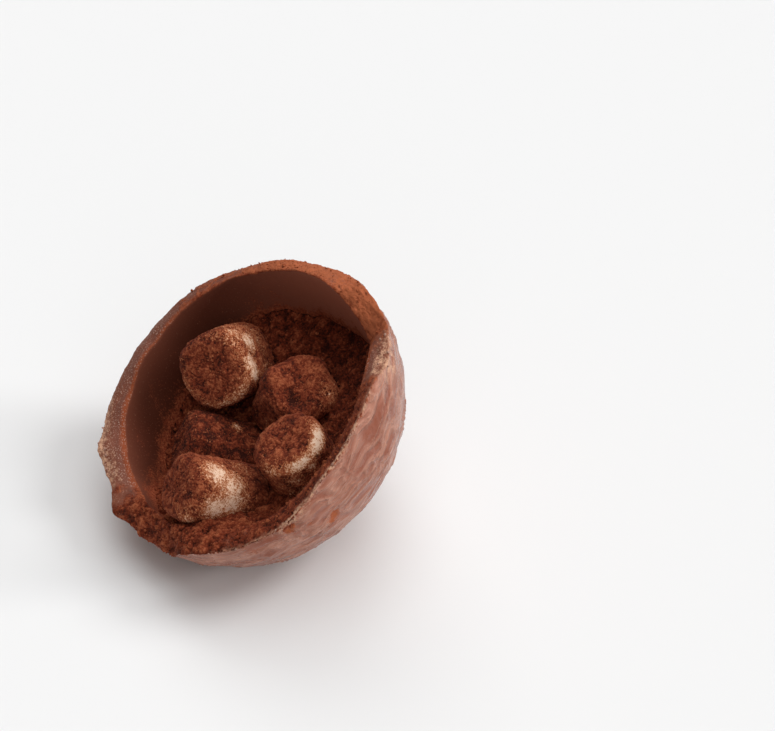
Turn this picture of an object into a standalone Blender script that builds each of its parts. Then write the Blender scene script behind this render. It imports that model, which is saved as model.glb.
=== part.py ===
"""Half of a broken hot chocolate sphere, lying open on its back.

The hollow milk chocolate half rests on a small flat spot and leans towards -Y.
Inside it lie a bank of drinking chocolate powder and five marshmallows.
Origin: centre of the flat resting spot. +Z is up, lengths are metres.
"""
import math

import bmesh
import bpy
from mathutils import Matrix, Vector, noise

MM = 0.001

# ---- driving dimensions -------------------------------------------------
OUTER_RADIUS = 32.5 * MM
INNER_RADIUS = 27.6 * MM
INNER_SHIFT = Vector((0.0, 0.4 * MM, 0.0))     # the cast is thicker on its low side
LEAN = math.radians(33.0)                      # opening tips towards -Y
FLAT_RADIUS = 9.8 * MM                         # resting spot, wide enough for the weight behind it
GAP = 0.3 * MM                                 # clearance between separate pieces
CENTRE_HEIGHT = math.sqrt(OUTER_RADIUS ** 2 - FLAT_RADIUS ** 2)

# ---- broken rim -----------------------------------------------------------
# Heights are measured along the bowl axis from the sphere's equator. Each
# feature is (angle deg, half width deg, outer edge mm, inner edge mm).
RIM_LEVEL = -0.9 * MM
RIM_FEATURES = (
    (8.0, 9.0, 0.8, 0.0),
    (32.0, 26.0, 2.7, -0.6),       # lip left standing beside the right notch
    (44.0, 7.0, 0.5, 0.0),
    (59.0, 7.0, -1.7, 0.0),
    (78.0, 15.0, -3.4, -4.0),      # right notch
    (81.0, 6.0, 0.0, -3.2),        # its deep inner corner
    (94.0, 4.0, 1.7, 0.0),         # tooth above the notch
    (103.0, 8.0, 0.0, 1.6),
    (118.0, 26.0, -1.8, 2.4),      # edge broken sloping outwards
    (118.0, 10.0, -1.2, 0.3),
    (152.0, 12.0, -0.9, 0.5),
    (172.0, 34.0, 0.8, 2.6),       # high back edge
    (208.0, 10.0, 0.0, 0.9),
    (244.0, 5.0, 1.8, -0.4),       # tooth beside the chip
    (252.0, 12.0, -1.2, -1.6),     # edge falling towards the chip
    (266.0, 9.0, 0.0, -2.0),
    (284.0, 16.0, -5.2, -2.8),     # deep chip on the low side
    (299.0, 7.0, -3.2, 0.0),
    (338.0, 32.0, -1.9, -3.6),     # low front edge
)
RIM_ROUGHNESS = 0.35 * MM
RIM_ROUGHNESS_WAVES = 7.0          # noise cells per radian around the rim
RIM_EDGE_OFFSET = 0.13             # keeps the outer and inner edges' roughness apart
OUTER_EDGE = 2                     # column of RIM_FEATURES for the outer edge
INNER_EDGE = 3                     # and for the inner edge
RIM_CREST = 0.5 * MM               # height of the rounded middle of the broken edge
RIM_SEGMENTS = 96
OUTER_RINGS = 11
INNER_RINGS = 9

# ---- powder bank ------------------------------------------------------------
# Heights are measured from the sphere's centre, angles around the vertical.
BED_FLOOR = -17.0 * MM             # surface height at the middle
BED_EDGE_LEVEL = -7.5 * MM         # mean height where the powder meets the wall
BED_EDGE_SWING = 13.5 * MM
BED_HIGH_SIDE = math.radians(86.0)
# (angle deg, half width deg, height mm) added to the wall line of the powder
BED_FEATURES = (
    (196.0, 28.0, -6.0),           # wall left bare on the far low side
    (318.0, 28.0, 2.6),            # heap against the low front edge
)
BED_RISE_POWER = 1.6
BED_LUMPS = 0.5 * MM
BED_LUMP_SIZE = 4.0 * MM
BED_SEGMENTS = 44
BED_WALL_RINGS = 9
BED_TOP_RINGS = 9

# ---- marshmallows -------------------------------------------------------------
# (centre mm from the sphere's centre, axis, radius mm, length mm, roll deg, squareness)
MARSHMALLOWS = (
    ((-15.5, 4.1, -5.2), (0.616, -0.623, 0.483), 7.5, 15.2, 35.0, 2.6),
    ((-1.7, 12.8, -7.3), (0.395, 0.069, 0.916), 6.9, 14.5, 9.0, 3.2),
    ((-5.2, -2.6, -17.3), (-0.334, -0.855, 0.397), 6.6, 16.0, 0.0, 2.4),
    ((14.6, 7.2, -6.7), (0.028, -0.415, 0.91), 7.1, 13.6, 0.0, 2.3),
    ((9.7, -8.2, -13.7), (0.047, -0.837, 0.545), 6.4, 18.4, 0.0, 2.3),
)
EDGE_ROUNDING = 2.4 * MM
DIMPLE = 0.35 * MM
MARSH_WOBBLE = 0.18 * MM
MARSH_WOBBLE_SIZE = 6.0 * MM
MARSH_SEGMENTS = 24
MARSH_ARC_STEPS = 3
MARSH_FACE_SHARE = 0.55            # radius share of the flat middle of an end face

QUARTER = math.pi / 2.0
WELD = 1e-7
SHARP_EDGE = math.radians(50.0)
CENTRE = Vector((0.0, 0.0, CENTRE_HEIGHT))
LEAN_TURN = Matrix.Rotation(LEAN, 4, "X")


def clear_scene():
    for obj in list(bpy.data.objects):
        bpy.data.objects.remove(obj, do_unlink=True)


def material(name, colour, roughness):
    mat = bpy.data.materials.new(name)
    mat.use_nodes = True
    shader = mat.node_tree.nodes["Principled BSDF"]
    shader.inputs["Base Color"].default_value = (*colour, 1.0)
    shader.inputs["Roughness"].default_value = roughness
    mat.diffuse_color = (*colour, 1.0)
    return mat


def bump(angle, middle, half_width):
    """Smooth bell between 0 and 1 around an angle."""
    off = (angle - middle + math.pi) % (2.0 * math.pi) - math.pi
    return math.exp(-(off / half_width) ** 2)


def turned(profile, segments):
    """Spin (radius, height) points around Z; the ends of the profile lie on the axis."""
    bm = bmesh.new()
    verts = [bm.verts.new((radius, 0.0, height)) for radius, height in profile]
    edges = [bm.edges.new(pair) for pair in zip(verts, verts[1:])]
    bmesh.ops.spin(
        bm, geom=verts + edges, cent=(0.0, 0.0, 0.0), axis=(0.0, 0.0, 1.0),
        angle=2.0 * math.pi, steps=segments, use_merge=True)
    bmesh.ops.remove_doubles(bm, verts=bm.verts, dist=WELD)
    return bm


def arc(radius, start, end, steps):
    """(radius, height) points on a sphere's meridian, angles up from its bottom."""
    points = []
    for step in range(steps + 1):
        polar = start + (end - start) * step / steps
        points.append((radius * math.sin(polar), -radius * math.cos(polar)))
    return points


def stretch_wall(co, radius, angle, edge_height):
    """Slide a point of a true half sphere so that its edge comes to edge_height."""
    edge = math.acos(-edge_height / radius)
    polar = math.acos(max(-1.0, min(1.0, -co.z / radius))) * edge / QUARTER
    flat = radius * math.sin(polar)
    return Vector((flat * math.cos(angle), flat * math.sin(angle), -radius * math.cos(polar)))


def finish_object(name, bm, mat):
    bmesh.ops.recalc_face_normals(bm, faces=bm.faces)
    if bm.calc_volume(signed=True) < 0.0:
        bmesh.ops.reverse_faces(bm, faces=bm.faces)
    mesh = bpy.data.meshes.new(name)
    bm.to_mesh(mesh)
    bm.free()
    mesh.shade_smooth()
    mesh.set_sharp_from_angle(angle=SHARP_EDGE)
    mesh.materials.append(mat)
    obj = bpy.data.objects.new(name, mesh)
    bpy.context.scene.collection.objects.link(obj)
    return obj


# ---- shell ---------------------------------------------------------------------
def rim_height(angle, column):
    """Height of the outer or the inner rim edge over the equator at an angle."""
    height = RIM_LEVEL
    for feature in RIM_FEATURES:
        bell = bump(angle, math.radians(feature[0]), math.radians(feature[1]))
        height += feature[column] * MM * bell
    around = Vector((math.cos(angle), math.sin(angle), RIM_EDGE_OFFSET * column))
    return height + RIM_ROUGHNESS * noise.noise(around * RIM_ROUGHNESS_WAVES)


def break_rim(bm):
    """Turn the even half shell into the broken one."""
    crest_radius = (OUTER_RADIUS + INNER_RADIUS) / 2.0
    for vert in bm.verts:
        angle = math.atan2(vert.co.y, vert.co.x)
        outer = rim_height(angle, OUTER_EDGE)
        inner = rim_height(angle, INNER_EDGE)
        distance = vert.co.length
        if distance > OUTER_RADIUS - WELD:
            vert.co = stretch_wall(vert.co, OUTER_RADIUS, angle, outer)
        elif distance < INNER_RADIUS + WELD:
            vert.co = stretch_wall(vert.co, INNER_RADIUS, angle, inner) + INNER_SHIFT
        else:
            height = (outer + inner) / 2.0 + RIM_CREST
            spot = Vector((math.cos(angle), math.sin(angle), 0.0)) * crest_radius
            vert.co = spot + INNER_SHIFT / 2.0 + Vector((0.0, 0.0, height))


def build_shell(mat):
    outside = arc(OUTER_RADIUS, 0.0, QUARTER, OUTER_RINGS)
    inside = arc(INNER_RADIUS, QUARTER, 0.0, INNER_RINGS)
    crest = ((OUTER_RADIUS + INNER_RADIUS) / 2.0, RIM_CREST)
    bm = turned(outside + [crest] + inside, RIM_SEGMENTS)
    break_rim(bm)
    bmesh.ops.transform(bm, matrix=LEAN_TURN, verts=bm.verts)
    bmesh.ops.translate(bm, vec=CENTRE, verts=bm.verts)
    cut = bmesh.ops.bisect_plane(
        bm, geom=bm.verts[:] + bm.edges[:] + bm.faces[:], dist=WELD,
        plane_co=(0.0, 0.0, 0.0), plane_no=(0.0, 0.0, -1.0), clear_outer=True)
    loop = [item for item in cut["geom_cut"] if isinstance(item, bmesh.types.BMEdge)]
    bmesh.ops.contextual_create(bm, geom=loop)
    return finish_object("shell_half", bm, mat)


# ---- powder ----------------------------------------------------------------------
def bed_edge_height(angle):
    """Height at which the powder surface meets the wall."""
    height = BED_EDGE_LEVEL + BED_EDGE_SWING * math.cos(angle - BED_HIGH_SIDE)
    for middle, half_width, rise in BED_FEATURES:
        height += rise * MM * bump(angle, math.radians(middle), math.radians(half_width))
    return height


def heap_powder(bm, cavity_radius):
    """Turn a half ball with a flat top into the sloping powder bank."""
    for vert in bm.verts:
        angle = math.atan2(vert.co.y, vert.co.x)
        edge = bed_edge_height(angle)
        if vert.co.length > cavity_radius - WELD:
            vert.co = stretch_wall(vert.co, cavity_radius, angle, edge)
            continue
        share = math.hypot(vert.co.x, vert.co.y) / cavity_radius
        flat = share * math.sqrt(cavity_radius ** 2 - edge ** 2)
        height = BED_FLOOR + (edge - BED_FLOOR) * share ** BED_RISE_POWER
        spot = Vector((flat * math.cos(angle), flat * math.sin(angle), height))
        fade = math.sin(math.pi * flat / cavity_radius)
        spot.z += BED_LUMPS * fade * noise.noise(spot / BED_LUMP_SIZE)
        vert.co = spot


def build_powder(mat, cutters):
    cavity_radius = INNER_RADIUS - GAP
    wall = arc(cavity_radius, 0.0, QUARTER, BED_WALL_RINGS)
    top = []
    for step in range(BED_TOP_RINGS - 1, -1, -1):
        top.append((cavity_radius * step / BED_TOP_RINGS, 0.0))
    bm = turned(wall + top, BED_SEGMENTS)
    heap_powder(bm, cavity_radius)
    shift = CENTRE + LEAN_TURN.to_3x3() @ INNER_SHIFT
    bmesh.ops.translate(bm, vec=shift, verts=bm.verts)
    obj = finish_object("powder_bank", bm, mat)
    for cutter in cutters:
        socket = obj.modifiers.new("socket_" + cutter.name, "BOOLEAN")
        socket.operation = "DIFFERENCE"
        socket.solver = "EXACT"
        socket.object = cutter
    return obj


# ---- marshmallows ---------------------------------------------------------------
def marsh_profile(radius, length, grow):
    """(radius, height) points from the bottom centre to the top centre."""
    half = length / 2.0 + grow
    side = radius + grow
    rounding = EDGE_ROUNDING + grow
    upper = []
    for step in range(MARSH_ARC_STEPS + 1):
        turn = QUARTER * step / MARSH_ARC_STEPS
        upper.append((side - rounding + rounding * math.cos(turn),
                      half - rounding + rounding * math.sin(turn)))
    upper.append(((side - rounding) * MARSH_FACE_SHARE, half))
    upper.append((0.0, half - DIMPLE))
    lower = [(reach, -height) for reach, height in reversed(upper)]
    return lower + upper


def build_marshmallow(name, mat, spec, grow):
    centre, axis, radius, length, roll, squareness = spec
    bm = turned(marsh_profile(radius * MM, length * MM, grow), MARSH_SEGMENTS)
    middle = CENTRE + Vector(centre) * MM
    along = Vector(axis).normalized()
    side = Vector((0.0, 0.0, 1.0)).cross(along).normalized()
    frame = Matrix((side, along.cross(side), along)).transposed()
    turn = frame @ Matrix.Rotation(math.radians(roll), 3, "Z")
    for vert in bm.verts:
        angle = math.atan2(vert.co.y, vert.co.x)
        around = abs(math.cos(angle)) ** squareness + abs(math.sin(angle)) ** squareness
        square = around ** (-1.0 / squareness)
        point = turn @ Vector((vert.co.x * square, vert.co.y * square, vert.co.z))
        wobble = MARSH_WOBBLE * noise.noise((point + middle - CENTRE) / MARSH_WOBBLE_SIZE)
        vert.co = middle + point * (1.0 + wobble / (radius * MM))
    return finish_object(name, bm, mat)


def main():
    clear_scene()
    chocolate = material("milk_chocolate", (0.30, 0.135, 0.085), 0.35)
    powder = material("cocoa_powder", (0.16, 0.055, 0.025), 0.95)
    marshmallow = material("dusted_marshmallow", (0.45, 0.22, 0.14), 0.9)
    build_shell(chocolate)
    cutters = []
    for number, spec in enumerate(MARSHMALLOWS, start=1):
        build_marshmallow("marshmallow_%d" % number, marshmallow, spec, 0.0)
        cutter = build_marshmallow("cut_marshmallow_%d" % number, marshmallow, spec, GAP)
        cutter.hide_render = True
        cutter.display_type = "WIRE"
        cutters.append(cutter)
    build_powder(powder, cutters)


main()
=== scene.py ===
"""Half of a broken hot chocolate sphere: its looks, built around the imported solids.

A hollow milk chocolate half shell lies on its back, open towards -Y. It holds a bank of
drinking chocolate powder and five powder-coated marshmallows. Lengths are metres.
"""
import math
import random

import bmesh
import bpy
from mathutils import Matrix, Vector, noise
from mathutils.bvhtree import BVHTree


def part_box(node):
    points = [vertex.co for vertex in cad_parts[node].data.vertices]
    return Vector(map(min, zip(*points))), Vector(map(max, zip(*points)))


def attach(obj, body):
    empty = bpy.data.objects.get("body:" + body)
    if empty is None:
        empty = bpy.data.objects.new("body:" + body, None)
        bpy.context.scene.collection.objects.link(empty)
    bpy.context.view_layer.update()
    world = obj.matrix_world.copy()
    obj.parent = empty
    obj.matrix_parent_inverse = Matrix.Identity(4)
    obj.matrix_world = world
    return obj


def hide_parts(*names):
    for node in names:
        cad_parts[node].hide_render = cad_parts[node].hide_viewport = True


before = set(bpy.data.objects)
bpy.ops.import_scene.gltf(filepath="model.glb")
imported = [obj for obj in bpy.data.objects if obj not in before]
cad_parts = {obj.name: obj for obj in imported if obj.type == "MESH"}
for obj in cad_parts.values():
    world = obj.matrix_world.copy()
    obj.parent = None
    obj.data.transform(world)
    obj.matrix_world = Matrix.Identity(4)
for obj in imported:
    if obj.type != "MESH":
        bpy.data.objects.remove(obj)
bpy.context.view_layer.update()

MM = 0.001
QUARTER = math.pi / 2.0
FULL = 2.0 * math.pi
WELD = 1e-7
ON_WALL = 0.01 * MM  # rounding left in a point that was turned many times

# ---- sizes shared with the solid model -----------------------------
OUTER_RADIUS = 32.5 * MM
INNER_RADIUS = 27.6 * MM
INNER_SHIFT = Vector((0.0, 0.4 * MM, 0.0))
LEAN_TURN = Matrix.Rotation(math.radians(33.0), 3, "X")
LEAN_BACK = LEAN_TURN.transposed()
FLAT_RADIUS = 9.8 * MM
CENTRE = Vector((0.0, 0.0, math.sqrt(OUTER_RADIUS ** 2 - FLAT_RADIUS ** 2)))

# Rim heights along the bowl axis over the equator:
# (angle deg, half width deg, outer edge mm, inner edge mm)
RIM_LEVEL = -0.9 * MM
RIM_FEATURES = (
    (8.0, 9.0, 0.8, 0.0),
    (32.0, 26.0, 2.7, -0.6),  # lip left standing beside the right notch
    (44.0, 7.0, 0.5, 0.0),
    (59.0, 7.0, -1.7, 0.0),
    (78.0, 15.0, -3.4, -4.0),  # right notch
    (81.0, 6.0, 0.0, -3.2),  # its deep inner corner
    (94.0, 4.0, 1.7, 0.0),  # tooth above the notch
    (103.0, 8.0, 0.0, 1.6),
    (118.0, 26.0, -1.8, 2.4),  # edge broken sloping outwards
    (118.0, 10.0, -1.2, 0.3),
    (152.0, 12.0, -0.9, 0.5),
    (172.0, 34.0, 0.8, 2.6),  # high back edge
    (208.0, 10.0, 0.0, 0.9),
    (244.0, 5.0, 1.8, -0.4),  # tooth beside the chip
    (252.0, 12.0, -1.2, -1.6),  # edge falling towards the chip
    (266.0, 9.0, 0.0, -2.0),
    (284.0, 16.0, -5.2, -2.8),  # deep chip on the low side
    (299.0, 7.0, -3.2, 0.0),
    (338.0, 32.0, -1.9, -3.6),  # low front edge
)
OUTER_EDGE = 2
INNER_EDGE = 3
RIM_ROUGHNESS = 0.35 * MM
RIM_ROUGHNESS_WAVES = 7.0
RIM_EDGE_OFFSET = 0.13
RIM_CREST = 0.5 * MM

# Powder surface: heights from the sphere's centre, angles around the vertical
BED_FLOOR = -17.0 * MM
BED_EDGE_LEVEL = -7.5 * MM
BED_EDGE_SWING = 13.5 * MM
BED_HIGH_SIDE = math.radians(86.0)
BED_FEATURES = (
    (196.0, 28.0, -6.0),  # wall left bare on the far low side
    (318.0, 28.0, 2.6),  # heap against the low front edge
    (236.0, 20.0, -3.2),  # hollow beside the low marshmallows
    (108.0, 25.0, -3.0),  # wall left bare under the back edge
    (352.0, 16.0, -4.5),  # gap between the low marshmallow and the wall
)
BED_RISE_POWER = 1.6

# ---- detail of the shell -------------------------------------------
SHELL_SEGMENTS = 590
SHELL_LAYERS = ("dust", "scuff", "relief_and_painted_shade", "bloom_and_edge_light")
OUTER_RINGS = 98
RIM_RINGS = 26
INNER_RINGS = 42
OUTER_RING_CROWDING = 0.8  # under 1 puts more rings near the rim
INNER_RING_CROWDING = 0.55
EDGE_CHIPS = 0.16 * MM  # small chips along both rim edges
EDGE_CHIP_WAVES = 26.0
VEIN_SPACING = 2.3 * MM
VEIN_STRETCH = 0.3  # veins run around the shell, this much finer across
VEIN_BEND = 5.0 * MM
VEIN_SEED = 23  # fixes how the veins bend, so every run is the same
VEIN_WIDTH = 0.1  # share of the spacing
VEIN_HEIGHT = 0.5 * MM
VEIN_PATCH_SIZE = 8.0 * MM  # the veins come and go over this distance
FOLD_HEIGHT = 0.36 * MM  # broader soft folds between the veins
WRINKLE_SIZE = 1.1 * MM
WRINKLE_HEIGHT = 0.08 * MM
SWELL_SIZE = 7.0 * MM
SWELL_HEIGHT = 0.16 * MM
FRACTURE_LENGTH = 3.4 * MM  # ripples of the break, longer along the rim
FRACTURE_WIDTH = 1.5 * MM
FRACTURE_HEIGHT = 0.24 * MM
POWDER_COAT = 0.34 * MM  # thickness of powder caked on the rim
WALL_BLOOM = (102.0, 52.0)  # greyer, lighter part of the lining (angle, half width)
EDGE_PAINTED_LIGHT = 0.42  # painted light just inside the edge, all the way round, mixed in with the bloom's lighter colour
EDGE_PAINTED_LIGHT_REACH = 4.0  # mm
THIN_POWDER = 1.3  # how much lighter a thin coat of powder looks
EDGE_PUSH_REACH = 2.5  # how fast a push dies away across the break
WALL_DUST = 0.85  # powder clinging to the wall above the bank
WALL_DUST_REACH = 1.7 * MM
WALL_HAZE = 0.12  # thin dust on the whole wall, and its clouds
WALL_CLOUDS = 0.22
WALL_CLOUD_SIZE = 3.5 * MM
DUST_PATCHES = 0.3  # how patchy the powder on the rim is
DUST_PATCH_SIZE = 3.0 * MM
SCUFF_HEIGHT = 0.25 * MM  # crumbly relief where the edge is bruised
SCUFF_SIZE = 0.7 * MM
FRONT_CRUST = (315.0, 24.0, 1.3)  # thicker powder where the heap spills over the edge
# outer edge pushed out: (angle deg, half width deg, mm, reach along the wall mm)
EDGE_PUSHES = (
    (259.0, 5.0, -0.9, 1.2),
    (269.5, 3.5, 1.2, 1.6),
    (281.0, 2.0, 0.35, 1.0),
    (290.0, 3.0, -0.3, 1.0),
)

# powder lying on the rim: (angle deg, half width deg, amount)
RIM_DUST = (
    (128.0, 36.0, 1.0),
    (88.0, 18.0, 1.0),
    (166.0, 18.0, 0.55),
    (283.0, 19.0, 1.0),
    (318.0, 26.0, 0.95),
    (350.0, 24.0, 0.95),
    (20.0, 30.0, 1.0),
    (44.0, 8.0, 0.9),
    (300.0, 15.0, 1.0),
)
# powder rubbed into the outside: (angle deg, mm below the outer edge, reach mm, amount)
OUTER_RUBS = (
    (3.9, 9.9, 1.7, 1.05),
    (351.0, 1.9, 1.7, 0.85),
    (356.8, 5.0, 0.8, 0.55),
    (335.0, 3.0, 2.0, 0.5),
    (130.0, 6.0, 3.0, 0.6),
    (200.0, 12.0, 2.4, 0.6),
)
RUB_LIGHTNESS = 0.9  # powder rubbed into the outside is a thin, light film
CLEAR_EDGE = (12.0, 42.0)  # where only the inner part of the break is powdered
THIN_EDGE = (110.0, 62.0)  # where the powder is a thin, light coat
NEAR_RIM_PAINTED_SHADE = 0.25  # painted shade: darker powder beside the clear edge, which faces away from the light

# pale bruised chocolate along the outer edge: (angle deg, half width deg, amount, reach mm)
EDGE_SCUFF = (
    (240.0, 19.0, 1.0, 2.0),
    (252.0, 10.0, 0.75, 5.0),  # crumbly flakes across the break beside the chip
    (68.0, 14.0, 0.7, 2.6),
    (59.0, 10.0, 0.85, 4.5),
    (354.0, 9.0, 1.2, 1.6),
    (20.0, 40.0, 1.05, 0.7),
    (330.0, 26.0, 0.75, 0.65),
    (200.0, 30.0, 0.3, 0.5),
)

# ---- marshmallows --------------------------------------------------
# Places are (angle deg, height mm, distance from the axis mm) in the marshmallow's own frame.
# bare: place, reach mm, amount of powder rubbed off; lumps: place, reach mm, lift mm;
# ring: (middle angle deg, half width deg, amount) rubbed off along the upper face's edge
MARSHMALLOWS = {
    "marshmallow_1": {
        "axis": (0.616, -0.623, 0.483), "radius": 7.5, "length": 15.2, "roll": 35.0,
        "squareness": 2.6,
        "bare": ((350.0, 5.6, 7.6, 2.2, 0.95), (20.0, 2.8, 7.6, 2.6, 0.9),
                 (331.0, 5.0, 7.6, 2.2, 1.0), (40.0, 5.0, 7.6, 2.4, 0.7),
                 (60.0, 1.5, 7.6, 5.0, 0.4), (25.0, -1.0, 7.6, 5.5, 0.42),
                 (330.0, 0.0, 7.6, 5.0, 0.38),
                 (140.0, -3.0, 7.6, 4.0, 0.7), (240.0, -4.0, 7.6, 4.0, 0.7)),
        "ring": ((290.0, 75.0, 0.62), (30.0, 60.0, 0.42), (190.0, 45.0, 0.38)),
        "lumps": ((310.0, 7.4, 2.0, 2.6, 0.25), (40.0, 2.0, 7.6, 3.0, 0.3),
                  (180.0, 7.4, 4.0, 2.4, -0.25)),
    },
    "marshmallow_2": {
        "axis": (0.395, 0.069, 0.916), "radius": 6.9, "length": 14.5, "roll": 9.0,
        "squareness": 3.2,
        "bare": ((315.0, 6.0, 5.6, 2.2, 0.5), (335.0, 3.0, 6.6, 2.6, 0.42),
                 (60.0, -3.0, 6.6, 3.5, 0.6), (200.0, -3.0, 6.6, 3.5, 0.6)),
        "ring": ((300.0, 30.0, 0.3),),
        "lumps": ((205.0, 7.1, 3.2, 2.3, -1.7), (125.0, 6.8, 6.0, 2.2, 1.1),
                  (18.0, 6.6, 6.6, 2.2, 1.2), (262.0, 6.6, 4.0, 2.0, 0.5),
                  (90.0, 7.0, 2.6, 1.6, -0.6), (340.0, 6.6, 3.6, 1.8, 0.5)),
    },
    "marshmallow_3": {
        "axis": (-0.334, -0.855, 0.397), "radius": 6.6, "length": 16.0, "roll": 0.0,
        # painted shadow: this marshmallow lies in the shadow of marshmallow_1, so its powder is
        # painted darker
        "squareness": 2.4, "tone_and_painted_shade": -0.3,
        "bare": ((98.0, -1.5, 6.8, 1.2, 0.7), (150.0, 7.0, 6.0, 1.6, 0.42),
                 (250.0, 0.0, 6.6, 3.5, 0.6)),
        "ring": ((150.0, 40.0, 0.3),),
        "lumps": ((73.0, 3.3, 6.6, 1.3, -0.8), (64.0, -0.1, 6.6, 1.3, -0.8),
                  (85.0, 1.2, 6.6, 1.2, 0.5), (110.0, 3.0, 6.6, 1.8, 0.5),
                  (60.0, 5.4, 6.6, 1.6, 0.45), (95.0, 5.0, 6.6, 1.0, -0.5)),
    },
    "marshmallow_4": {
        "axis": (0.028, -0.415, 0.91), "radius": 7.1, "length": 13.6, "roll": 0.0,
        "squareness": 2.3,
        "bare": ((8.0, 4.4, 7.0, 1.6, 0.7), (335.0, 3.4, 7.0, 2.6, 0.5),
                 (310.0, 0.8, 7.0, 4.0, 0.4), (350.0, -1.0, 7.0, 4.4, 0.42),
                 (25.0, -1.0, 7.0, 4.4, 0.36),
                 (180.0, -2.0, 6.6, 4.0, 0.6)),
        "ring": ((50.0, 42.0, 1.1), (358.0, 32.0, 0.95), (305.0, 24.0, 0.6)),
        "lumps": ((332.0, 6.4, 2.4, 1.0, -0.6), (350.0, 6.4, 4.2, 1.6, 0.55),
                  (220.0, 6.4, 3.4, 2.0, 0.55), (290.0, 6.4, 4.0, 1.5, 0.45),
                  (120.0, 6.4, 3.6, 1.8, 0.4), (60.0, 6.4, 2.2, 1.2, -0.4)),
    },
    "marshmallow_5": {
        "axis": (0.047, -0.837, 0.545), "radius": 6.4, "length": 18.4, "roll": 0.0,
        "squareness": 2.3,
        "bare": ((66.0, 4.6, 6.8, 3.4, 0.95), (46.0, 1.4, 6.8, 3.8, 0.85),
                 (18.0, 0.6, 6.8, 3.8, 0.9), (4.0, 3.8, 6.8, 3.6, 0.95),
                 (322.0, 7.2, 6.0, 2.2, 0.65), (350.0, 0.0, 6.8, 3.2, 0.5),
                 (90.0, -2.0, 6.8, 3.0, 0.4), (200.0, -3.0, 6.8, 4.0, 0.6)),
        "ring": ((340.0, 40.0, 0.35),),
        "lumps": ((296.0, 8.8, 2.5, 1.6, 0.45), (258.0, 8.5, 5.2, 1.6, 0.45),
                  (230.0, 8.8, 3.0, 1.3, -0.4), (275.0, 8.8, 4.6, 1.0, -0.4)),
    },
}
MARSH_SEGMENTS = 190
MARSH_STEP = 0.22 * MM  # spacing of the profile's points
RING_REACH = 1.5 * MM
HOLLOW_PAINTED_SHADE = 0.45  # painted shade: how much darker the powder is for each mm of hollow
CRUST = 0.3 * MM  # relief of the powder crust
EDGE_ROUNDING = 2.4 * MM
DIMPLE = 0.35 * MM
MARSH_FACE_SHARE = 0.55
MARSH_WOBBLE = 0.18 * MM
MARSH_WOBBLE_SIZE = 6.0 * MM
MARSH_SWELL = 0.16 * MM
MARSH_SWELL_SIZE = 3.2 * MM

# ---- powder --------------------------------------------------------
BED_SEGMENTS = 460
BED_TOP_RINGS = 118
BED_WALL_RINGS = 10
BED_TOP_CROWDING = 0.85  # under 1 puts more rings near the wall
BED_EDGE_RAGGED = 0.8 * MM  # how unevenly the powder meets the wall
BED_EDGE_WAVES = 7.0
BED_SWELL = 0.5  # mm of soft swells, and of the clumps on them
BED_SWELL_SIZE = 4.0 * MM
BED_PAINTED_SHADE = 0.25  # painted shade: the bank is darker against the back wall, in the wall's shadow
BED_SHADED_SIDE = (105.0, 60.0)  # where that painted shade lies (angle deg, half width deg)
SOCKET_GAP = 0.05 * MM  # air between the bank and what is sunk in it
SOCKET_REACH = 12.0 * MM  # no marshmallow is wider than this around its middle
BIG_CLUMP = 1.4 * MM
SMALL_CLUMP = 0.5 * MM
CLUMP_CREASES = 1.6 * MM
CLUMP_ROUGHNESS = 2.0 * MM
EDGE_STEPS = 5  # steps that bring the bank down to the rim
SPILL = 0.25 * MM  # how far powder may stand over the rim's inner edge
RIM_GRAINS = 1300  # how many loose grains lie where
BANK_GRAINS = 1500
MARSHMALLOW_GRAINS = 320
GRAIN_SIZES = (0.05 * MM, 0.16 * MM)
RIM_CLUMPS = 60
BANK_CLUMPS = 130
CLUMP_SIZES = (0.2 * MM, 0.45 * MM)
CRUMBS = 110
CRUMB_SIZES = (0.12 * MM, 0.4 * MM)
BATCH = 60  # loose grains made at a time
LOOSE_PAINTED_LIGHT = 0.9  # loose powder gets the painted light of the tops of the clumps

# ---- patterns in the finishes --------------------------------------
CRUMB_GRAIN = 0.3 * MM  # crystals and single grains, drawn as coarse as they show
CRUMB_BUMP = 0.15 * MM
SKIN_WRINKLES = 2.4 * MM  # spacing of the fine creases of the moulded skin
SKIN_BUMP = 0.8 * MM
SKIN_MOTTLE = 1.2 * MM
SKIN_CLOUDS = 5.0 * MM
POWDER_MOTTLE = 0.42 * MM  # light and dark spots between the clumps
POWDER_GRAIN = 0.28 * MM
POWDER_BUMP = 0.4 * MM
CRUST_PATCHES = 0.9 * MM  # patches of powder left on a rubbed marshmallow
CRUST_BUMP = 0.2 * MM

# ---- studio --------------------------------------------------------
# lights: (name, turn from behind the camera deg, height deg, spread deg, strength)
LIGHTS = (
    ("softbox_right", 92.0, 45.0, 24.0, 0.26),
    ("softbox_behind", 188.0, 48.0, 44.0, 0.2),
    ("softbox_above", 90.0, 84.0, 50.0, 0.35),
    ("strip_low_right", 84.0, 18.0, 12.0, 0.08),
    ("fill_in_front", 10.0, 40.0, 60.0, 0.14),
)
AIR_LIGHT = 0.1
FLOOR_REACH = 4.0
CAMERA_AZIMUTH = math.radians(66.0)
CAMERA_ELEVATION = math.radians(40.0)
CAMERA_DISTANCE = 450.0 * MM
CAMERA_SIDEWAYS = 29.2 * MM
CAMERA_UPWARDS = 6.1 * MM
CAMERA_LENS = 108.5


# ---- small helpers -------------------------------------------------
def bell(angle, middle, half_width):
    """Smooth bell between 0 and 1 around an angle, all in radians."""
    off = (angle - middle + math.pi) % FULL - math.pi
    return math.exp(-(off / half_width) ** 2)


def smooth(value, low, high):
    """0 below low, 1 above high, eased between."""
    share = min(max((value - low) / (high - low), 0.0), 1.0)
    return share * share * (3.0 - 2.0 * share)


def domes(point, size):
    """Rounded lumps of caked powder: 1 on top, 0 in the creases between them."""
    near = noise.voronoi(point / size)[0][0]
    return max(0.0, 1.0 - 1.7 * near * near)


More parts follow.
